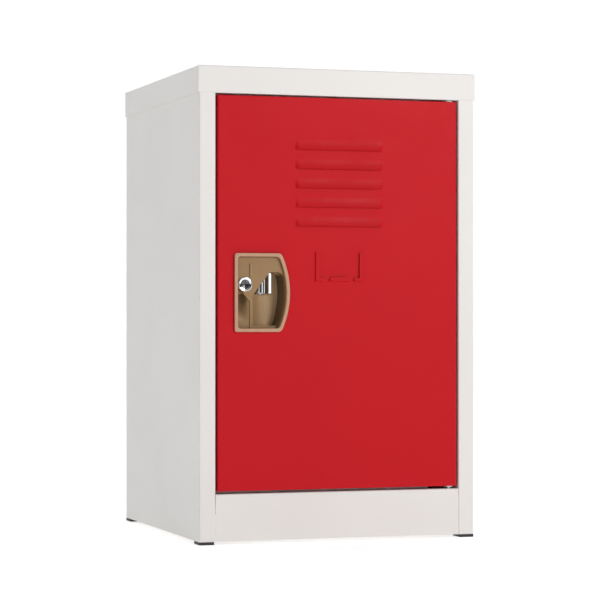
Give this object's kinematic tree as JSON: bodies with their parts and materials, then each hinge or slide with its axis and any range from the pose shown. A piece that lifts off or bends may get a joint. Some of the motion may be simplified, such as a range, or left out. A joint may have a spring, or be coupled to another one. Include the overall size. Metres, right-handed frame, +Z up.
{
  "type": "school locker",
  "caption": "Low single-tier steel school locker: folded cabinet with a louvred pan door, card holder, recessed finger-cup handle, key lock, spring latch and coat hooks, on corner pads.",
  "frame": {"origin": "on the floor, under the centre of the whole locker's box", "axes": "+X to the right of the door, +Y from the door towards the back, +Z up"},
  "size_m": [0.3794, 0.3896, 0.612],
  "materials": {
    "cabinet_paint": "off-white powder coat, satin, fine orange peel",
    "door_paint": "red powder coat, satin, fine orange peel",
    "handle_plastic": "champagne metallic moulded plastic, satin",
    "lock_chrome": "bright chrome plate",
    "zinc_steel": "zinc-plated steel",
    "black_rubber": "matt black moulded rubber",
    "white_nylon": "natural nylon"
  },
  "bodies": {
    "cabinet": {"left_side_panel": "cabinet_paint", "right_side_panel": "cabinet_paint", "back_panel": "cabinet_paint", "bottom_panel": "cabinet_paint", "top_cap": "cabinet_paint", "header_rail": "cabinet_paint", "bottom_rail": "cabinet_paint", "foot_front_left": "black_rubber", "foot_front_right": "black_rubber", "foot_rear_left": "black_rubber", "foot_rear_right": "black_rubber", "foot_bracket_front_left": "zinc_steel", "foot_bracket_front_right": "zinc_steel", "foot_bracket_rear_left": "zinc_steel", "foot_bracket_rear_right": "zinc_steel", "rivet_top_left": "zinc_steel", "rivet_top_right": "zinc_steel", "rivet_bottom_left": "zinc_steel", "rivet_bottom_right": "zinc_steel", "coat_hook_left": "zinc_steel", "coat_hook_right": "zinc_steel", "door_bumper_top": "black_rubber", "door_bumper_bottom": "black_rubber", "hinge_pin_top": "zinc_steel", "hinge_pin_bottom": "zinc_steel"},
    "door": {"door_panel": "door_paint", "door_stiffener": "door_paint", "handle_plate": "handle_plastic", "lock_housing": "handle_plastic", "lock_cylinder": "lock_chrome", "lock_nut": "zinc_steel", "bolt_guide_left": "zinc_steel", "bolt_guide_right": "zinc_steel", "spring_anchor": "zinc_steel", "bolt_spring": "zinc_steel", "handle_clip_top": "zinc_steel", "handle_clip_bottom": "zinc_steel", "hinge_bush_top": "white_nylon", "hinge_bush_bottom": "white_nylon"},
    "key_plug": {"lock_plug": "lock_chrome", "lock_cam": "zinc_steel", "cam_screw": "zinc_steel"},
    "latch_lever": {"latch_lever": "lock_chrome", "lever_shaft": "zinc_steel", "lever_crank": "zinc_steel"},
    "latch_bolt": {"latch_bolt": "zinc_steel"}
  },
  "joints": [
    {"name": "door_hinge", "type": "hinge", "parent": "cabinet", "child": "door", "pos_m": [0.155, -0.18385, 0.32], "axis": [0, 0, 1], "range_deg": [0, 110]},
    {"name": "key_turn", "type": "hinge", "parent": "door", "child": "key_plug", "pos_m": [-0.1277, -0.19035, 0.3327], "axis": [0, 1, 0], "range_deg": [0, 90]},
    {"name": "lever_pull", "type": "hinge", "parent": "door", "child": "latch_lever", "pos_m": [-0.103, -0.17435, 0.3345], "axis": [0, 0, -1], "range_deg": [0, 30], "stiffness_Nm_per_rad": 0.06, "springref_deg": -17.19},
    {"name": "bolt_slide", "type": "slide", "parent": "door", "child": "latch_bolt", "axis": [1, 0, 0], "range_m": [0, 0.0066], "deforming": ["bolt_spring"]}
  ],
  "couplings": [
    {"joint": "bolt_slide", "follows": "lever_pull", "m_per_rad": 0.01241}
  ]
}
